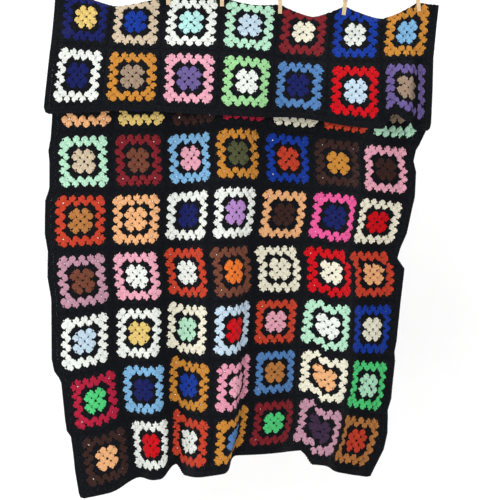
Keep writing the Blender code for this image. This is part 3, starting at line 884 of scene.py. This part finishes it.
def square_shapes(yarns, chance):
    """All the flat paths of one square, in half squares, with each one's yarn."""
    posts, arches, chains = [], [], []
    post_yarns, arch_yarns, chain_yarns = [], [], []
    for number, row in enumerate(ROUNDS, 1):
        yarn = yarns.get(row.yarn, row.yarn)
        for quarter in range(4):
            for k in range(number):
                wander = chance.normal(0.0, PLACE_JITTER, 2)
                flat_posts, flat_arch = cluster_shapes(number, k)
                posts.append(turned(flat_posts + wander, quarter))
                arches.append(turned(flat_arch + wander, quarter))
                post_yarns += [yarn] * 3
                arch_yarns.append(yarn)
            chains.append(turned(corner_chain(number), quarter))
            chain_yarns.append(yarn)
    shapes = (np.concatenate(posts), np.array(arches), np.array(chains))
    return shapes, (post_yarns, arch_yarns, chain_yarns)


def pinch(u, v):
    """What share of their thickness the stitches keep: less where a peg grips the fold."""
    nearest = np.min([np.abs(u - column) for column in peg_columns()], axis=0)
    beside = smooth_step((nearest - PINCH_ACROSS[0]) / PINCH_ACROSS[1])
    below = smooth_step((np.abs(v - FOLD_ROW) - PINCH_DOWN[0]) / PINCH_DOWN[1])
    return PINCHED_SHARE + (1 - PINCHED_SHARE) * np.maximum(beside, below)


def lay_tubes(u, v, width, thickness, yarn):
    """Tubes along paths on the cloth."""
    points, normals = (part.reshape(*u.shape, 3) for part in cloth_points(u.ravel(), v.ravel()))
    squeeze = pinch(u.ravel(), v.ravel()).reshape(u.shape)
    return Tubes(points, normals, width, thickness * squeeze, yarn)


def row_paths(row, pairs, chance):
    """For the posts, arches and chains of a row of squares: their columns, their rows and their yarns."""
    kinds = [[[], [], []] for _ in range(3)]
    for column, pair in enumerate(pairs.split()):
        shapes, names = square_shapes(dict(zip(("frame", "centre"), pair.split("/"))), chance)
        turn = chance.normal(0.0, SQUARE_TURN)
        size = 1.0 + chance.normal(0.0, SQUARE_SCALE)
        spin = np.array([[math.cos(turn), math.sin(turn)], [-math.sin(turn), math.cos(turn)]]) * size
        for kind, flat, yarns in zip(kinds, shapes, names):
            reach = np.abs(flat).max(axis=-1, keepdims=True)
            loose = np.clip(LOOSENESS - LOOSENESS * reach, 0.0, 1.0)
            bent = flat @ spin * loose + flat * (1 - loose)
            kind[0].append(column + HALF + bent[..., 0] * HALF)
            kind[1].append(row + HALF + bent[..., 1] * HALF)
            kind[2].extend(yarns)
    return [(np.concatenate(us), np.concatenate(vs), yarns) for us, vs, yarns in kinds]


def make_row(row, letter, pairs):
    """The stitches of one row of squares."""
    chance = np.random.default_rng(SEED + row)
    (u, v, yarns), arches, chains = row_paths(row, pairs, chance)
    size = 1 + chance.normal(0.0, SIZE_JITTER, (len(u), 1))
    width = np.array([ring.width for ring in POST_RINGS]) * MM * size
    thickness = np.array([ring.thickness for ring in POST_RINGS]) * MM * np.minimum(size, THICKEST)
    batches = [lay_tubes(u, v, width, thickness, yarns)]
    for (u, v, yarns), wide, thick in (
        (arches, ARCH_WIDTH, ARCH_THICKNESS),
        (chains, CORNER_CHAIN_WIDTH, CORNER_CHAIN_WIDTH),
    ):
        taper = np.ones(u.shape)
        taper[:, 0] = taper[:, -1] = STRAND_END
        batches.append(lay_tubes(u, v, wide * taper, thick * taper, yarns))
    piece = strands_object(f"stitches_row_{letter}", batches)
    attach(piece, "root")
    return piece


def edge_walk():
    """Places round the blanket's edge, a post apart, each with the way out of the cloth and the way on."""
    places = []
    for length, start, ahead, out in (
        (COLUMNS, (0.0, 0.0), (1, 0), (0, -1)),
        (ROWS, (COLUMNS, 0.0), (0, 1), (1, 0)),
        (COLUMNS, (COLUMNS, ROWS), (-1, 0), (0, 1)),
        (ROWS, (0.0, ROWS), (0, -1), (-1, 0)),
    ):
        count = round(length * SQUARE / EDGE_POST_PITCH)
        for k in range(count):
            share = (k + HALF) / count * length
            places.append((start[0] + ahead[0] * share, start[1] + ahead[1] * share, *out, *ahead))
    return np.array(places)


def corner_fans():
    """Posts that fan round the four corners of the edging."""
    places = []
    for u, v, turn in ((0, 0, 180), (COLUMNS, 0, 270), (COLUMNS, ROWS, 0), (0, ROWS, 90)):
        for angle in np.radians(turn + np.array(FAN_ANGLES)):
            places.append((u, v, math.cos(angle), math.sin(angle), -math.sin(angle), math.cos(angle)))
    return np.array(places)


def edging_posts(places, reach, number, chance):
    """The posts of one round of the edging at all these places."""
    start, out, ahead = (places[:, None, k : k + 2] for k in (0, 2, 4))
    lean = chance.normal(0.0, EDGE_LEAN, (len(places), 1, 1)) * MM / SQUARE
    shift = number * EDGE_STAGGER * EDGE_POST_PITCH / SQUARE
    steps = np.linspace(*EDGE_ROUNDS[number], len(EDGE_POST_RINGS))[None, :, None]
    flat = start + out * steps * (EDGING_WIDTH / SQUARE * reach) + ahead * (lean + shift)
    uneven = 1 + chance.normal(0.0, SIZE_JITTER, (len(places), 1))
    width = np.array(EDGE_POST_RINGS) * EDGE_POST_WIDTH * uneven
    thickness = np.array(EDGE_POST_RINGS) * EDGE_POST_THICKNESS * np.ones_like(uneven)
    return lay_tubes(flat[..., 0], flat[..., 1], width, thickness, ["black"] * len(places))


def make_edging_stitches():
    chance = np.random.default_rng(SEED)
    batches = []
    for places, reach in ((edge_walk(), 1.0), (corner_fans(), FAN_REACH)):
        batches += [edging_posts(places, reach, number, chance) for number in range(len(EDGE_ROUNDS))]
    piece = strands_object("edging_stitches", batches)
    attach(piece, "root")
    return piece


def ground_lines(count):
    """Lines of the ground's mesh along one direction of the squares, with the gaps' edges among them."""
    fractions = {round(place + side * GAP_HALF_WIDTH, 3) for place in GAP_PLACES for side in (-1, 1)}
    for k in range(GROUND_CELLS):
        fraction = k / GROUND_CELLS
        if all(abs(fraction - place) > GAP_SPACE for place in GAP_PLACES):
            fractions.add(fraction)
    return [i + fraction for i in range(count) for fraction in sorted(fractions)] + [count]


def bent_rows(u):
    """Rows at column u that lie round the fold's half circle."""
    turns = np.linspace(-math.pi / 2, math.pi / 2, FOLD_STEPS + 1)
    arcs = fold_radius(u) * np.abs(turns)
    return list(FOLD_ROW + np.where(turns < 0, -flap_rows(u, arcs), arcs / behind_row_drop(u)))


def ground_rows(u):
    """Rows of the ground's mesh at column u, where those round the fold follow it."""
    lines = ground_lines(ROWS)
    flap = [line for line in lines if line < FLAP_LINES_END]
    main = [line for line in lines if line > MAIN_LINES_START]
    bent = bent_rows(u)
    return flap + [(flap[-1] + bent[0]) / 2] + bent + [(bent[-1] + main[0]) / 2] + main


def is_gap(start, end):
    """Whether the cell between two lines is a gap's."""
    middle = (start + end) / 2 % 1
    near = min(abs(middle - place) for place in GAP_PLACES) < GAP_HALF_WIDTH / 2
    return near and end - start < GAP_SPACE


def finished_mesh(name, mesh, material):
    data = bpy.data.meshes.new(name)
    mesh.to_mesh(data)
    mesh.free()
    data.shade_smooth()
    data.materials.append(material)
    return data


def sheet_object(name, u, v, keep):
    """A closed thin black sheet over the cells to keep, with walls wherever a kept cell ends."""
    middle, normal = cloth_points(u.ravel(), v.ravel())
    sides = [(middle + normal * GROUND_THICKNESS * side).reshape(*u.shape, 3) for side in (HALF, -HALF)]
    mesh = bmesh.new()
    corners = {}

    def corner(side, place):
        key = (side, *place)
        if key not in corners:
            corners[key] = mesh.verts.new(sides[side][place])
        return corners[key]

    def kept(i, j):
        inside = 0 <= i < keep.shape[0] and 0 <= j < keep.shape[1]
        return inside and keep[i, j]

    def wall(start, end):
        mesh.faces.new((corner(0, end), corner(0, start), corner(1, start), corner(1, end)))

    for i, j in np.argwhere(keep):
        a, b, c, d = ((i, j), (i, j + 1), (i + 1, j + 1), (i + 1, j))
        mesh.faces.new([corner(0, place) for place in (a, b, c, d)])
        mesh.faces.new([corner(1, place) for place in (d, c, b, a)])
        cell_sides = ((i - 1, j, a, b), (i + 1, j, c, d), (i, j - 1, d, a), (i, j + 1, b, c))
        for row, column, start, end in cell_sides:
            if not kept(row, column):
                wall(start, end)
    # The ground's black is painted shade between the stitches, and black yarn only under the black rounds
    return add_object(name, finished_mesh(name, mesh, material_of("black_ground_painted_shade", painted_shade_ground_material)))


def make_ground():
    """The thin black ground of the squares, painted shade in the gaps between their stitches."""
    u_lines = ground_lines(COLUMNS)
    lines = np.array([ground_rows(u) for u in u_lines]).T
    u = np.tile(u_lines, (lines.shape[0], 1))
    keep = np.ones((lines.shape[0] - 1, len(u_lines) - 1), bool)
    for i, j in np.ndindex(keep.shape):
        keep[i, j] = not (is_gap(u[i, j], u[i, j + 1]) and is_gap(lines[i, j], lines[i + 1, j]))
    piece = sheet_object("ground", u, lines, keep)
    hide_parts("blanket")
    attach(piece, "root")
    return piece


def make_edging_ground():
    """The thin black ground of the edging, a small gap outside the squares, with the same painted-shade
    black.
    """
    gap = PIECE_GAP / SQUARE
    width = EDGING_WIDTH / SQUARE * EDGING_GROUND_SHARE
    u_lines = [-width, -gap, *ground_lines(COLUMNS)[1:-1], COLUMNS + gap, COLUMNS + width]
    rows = []
    for u in u_lines:
        inner = ground_rows(np.clip(u, 0, COLUMNS))[1:-1]
        rows.append([-width, -gap, *inner, ROWS + gap, ROWS + width])
    v = np.array(rows).T
    u = np.tile(u_lines, (v.shape[0], 1))
    for i, v_edge in ((0, 0), (-1, ROWS)):
        for j, u_edge in ((0, 0), (-1, COLUMNS)):
            u[i, j] = u_edge + (u[i, j] - u_edge) * EDGE_CORNER
            v[i, j] = v_edge + (v[i, j] - v_edge) * EDGE_CORNER
    keep = np.zeros((v.shape[0] - 1, v.shape[1] - 1), bool)
    keep[0, :] = keep[-1, :] = True
    keep[:, 0] = keep[:, -1] = True
    piece = sheet_object("edging_ground", u, v, keep)
    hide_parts("edging")
    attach(piece, "root")
    return piece


def arc_points(height, radius, start, end):
    """Points of an arc round the peg's middle plane, as distances from that plane and heights."""
    angles = np.radians(np.linspace(start, end, ARC_STEPS + 1))
    return [(radius * math.cos(a), height + radius * math.sin(a)) for a in angles]


def leg_profile():
    """Outline of a leg: distance from the peg's middle plane, and height from the line."""
    jaw = FOLD_RADIUS_PINCHED + THICKNESS / 2 + JAW_CLEARANCE
    fold_centre = -LINE_ABOVE_CLOTH - FOLD_RADIUS_PINCHED - THICKNESS / 2
    groove = SPRING_RADIUS + SPRING_WIRE + PIECE_GAP
    groove_end = math.degrees(math.acos(LEG_HALF_GAP / groove))
    seat_end = math.degrees(math.acos(LEG_HALF_GAP / LINE_RADIUS))
    over_fold = math.degrees(math.acos(LINE_RADIUS / jaw))
    inner = [(jaw, -JAW_DEPTH)]
    inner += arc_points(fold_centre, jaw, 0, over_fold)
    inner += arc_points(0.0, LINE_RADIUS, 0, seat_end)
    inner += arc_points(SPRING_HEIGHT, groove, -groove_end, groove_end)
    inner += [(HANDLE_INNER, HANDLE_TOP)]
    outer = [
        (HANDLE_OUTER, HANDLE_TOP),
        (WAIST_THICKNESS, SPRING_HEIGHT + groove),
        (WAIST_THICKNESS, SPRING_HEIGHT - groove),
        (jaw + JAW_THICKNESS, CHEEK_HEIGHT),
        (jaw + TIP_THICKNESS, -JAW_DEPTH),
    ]
    return inner + outer


def leg_mesh(place):
    """A leg drawn out over the peg's width, its edges rounded, moved to its place."""
    mesh = bmesh.new()
    sides = []
    for x in (-PEG_WIDTH / 2, PEG_WIDTH / 2):
        sides.append([mesh.verts.new((x, -distance, height)) for distance, height in leg_profile()])
    left, right = sides
    ends = [mesh.faces.new(left), mesh.faces.new(reversed(right))]
    for k in range(len(left)):
        mesh.faces.new((left[k], left[k - 1], right[k - 1], right[k]))
    bmesh.ops.recalc_face_normals(mesh, faces=mesh.faces)
    edges = {edge for face in ends for edge in face.edges}
    bevel = {"offset": LEG_BEVEL, "segments": LEG_BEVEL_SEGMENTS, "profile": HALF, "affect": "EDGES"}
    bmesh.ops.bevel(mesh, geom=list(edges), clamp_overlap=True, **bevel)
    mesh.transform(place)
    return mesh


def spring_path():
    """The wire's middle line: a hook over the front leg, the coil, and a hook over the back leg."""
    side = PEG_WIDTH / 2 + PIECE_GAP + SPRING_WIRE
    reach = WAIST_THICKNESS + PIECE_GAP + SPRING_WIRE
    steps = int(SPRING_TURNS * SPRING_STEPS_PER_TURN)
    points = [(-SPRING_HOOK, -reach, SPRING_HEIGHT), (side, -reach, SPRING_HEIGHT)]
    for step in range(steps + 1):
        turn = 2 * math.pi * SPRING_TURNS * step / steps
        x = side - 2 * side * step / steps
        y = -SPRING_RADIUS * math.cos(turn)
        points.append((x, y, SPRING_HEIGHT + SPRING_RADIUS * math.sin(turn)))
    return points + [(-side, reach, SPRING_HEIGHT), (SPRING_HOOK, reach, SPRING_HEIGHT)]


def make_spring(name, place, material):
    curve = bpy.data.curves.new(name, "CURVE")
    curve.dimensions = "3D"
    points = spring_path()
    spline = curve.splines.new("POLY")
    spline.points.add(len(points) - 1)
    for point, where in zip(spline.points, points):
        point.co = (*(place @ Vector(where)), 1.0)
    curve.bevel_depth = SPRING_WIRE
    curve.bevel_resolution = 3
    curve.use_fill_caps = True
    curve.materials.append(material)
    return add_object(name, curve)


def make_pegs():
    """Six pegs along the fold, each of two wooden legs and a wire spring."""
    wood = material_of("beech", wood_material)
    steel = material_of("spring_wire", steel_material)
    for number, peg in enumerate(PEGS, 1):
        here = Matrix.Translation((peg.across * MM, 0.0, peg.top * MM + LINE_ABOVE_CLOTH))
        here = here @ Matrix.Rotation(math.radians(peg.lean), 4, "Y")
        for side, turn in (("front", 0.0), ("back", math.pi)):
            name = f"peg_{number}_{side}_leg"
            data = finished_mesh(f"{name}_wood", leg_mesh(here @ Matrix.Rotation(turn, 4, "Z")), wood)
            data.set_sharp_from_angle(angle=LEG_SHARP_ANGLE)
            leg = add_object(f"{name}_wood", data)
            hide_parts(name)
            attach(leg, "root")
        spring = make_spring(f"peg_{number}_spring_wire", here, steel)
        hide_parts(f"peg_{number}_spring")
        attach(spring, "root")


def make_stage():
    """A pale floor that curves up into a pale backdrop."""
    floor = CAD_BOX[0][2] - FLOOR_BELOW
    profile = [(FLOOR_FRONT, floor)]
    for step in range(BACKDROP_STEPS + 1):
        turn = math.pi / 2 * step / BACKDROP_STEPS
        y = BACKDROP_BEHIND - BACKDROP_BEND + BACKDROP_BEND * math.sin(turn)
        profile.append((y, floor + BACKDROP_BEND - BACKDROP_BEND * math.cos(turn)))
    profile.append((BACKDROP_BEHIND, BACKDROP_TOP))
    sides = [VIEW_CENTRE_X + side * BACKDROP_HALF_WIDTH for side in (-1, 1)]
    corners = [(x, y, z) for y, z in profile for x in sides]
    faces = [(2 * k, 2 * k + 1, 2 * k + 3, 2 * k + 2) for k in range(len(profile) - 1)]
    mesh = bpy.data.meshes.new("backdrop")
    mesh.from_pydata(corners, [], faces)
    mesh.shade_smooth()
    mesh.materials.append(paper_material("studio_paper"))
    thing = add_object("backdrop", mesh)


def aim(thing, place, target):
    thing.location = place
    thing.rotation_euler = (Vector(target) - thing.location).to_track_quat("-Z", "Y").to_euler()


def make_lights():
    for lamp in LAMPS:
        light = bpy.data.lights.new(lamp.name, "AREA")
        light.shape = "RECTANGLE"
        light.size, light.size_y = lamp.size
        light.energy = lamp.power
        light.color = lamp.tint
        aim(add_object(lamp.name, light), lamp.place, lamp.target)
    world = bpy.data.worlds.new("studio")
    world.use_nodes = True
    set_inputs(world.node_tree.nodes["Background"], {"Color": (*PLAIN, 1.0), "Strength": SKY_STRENGTH})
    bpy.context.scene.world = world


def make_camera():
    camera = bpy.data.cameras.new("camera")
    camera.sensor_fit = "HORIZONTAL"
    camera.angle = 2 * math.atan(VIEW_WIDTH / 2 / CAMERA_DISTANCE)
    thing = add_object("camera", camera)
    aim(thing, (VIEW_CENTRE_X, -CAMERA_DISTANCE, VIEW_CENTRE_Z), VIEW_MIDDLE)
    bpy.context.scene.camera = thing
    bpy.context.scene.view_settings.view_transform = "Standard"


def main():
    make_camera()
    ground = make_ground()
    rows = [make_row(row, letter, pairs) for row, (letter, pairs) in enumerate(SQUARE_YARNS.items())]
    edging_ground = make_edging_ground()
    edging = make_edging_stitches()
    make_pegs()
    make_stage()
    make_lights()


main()
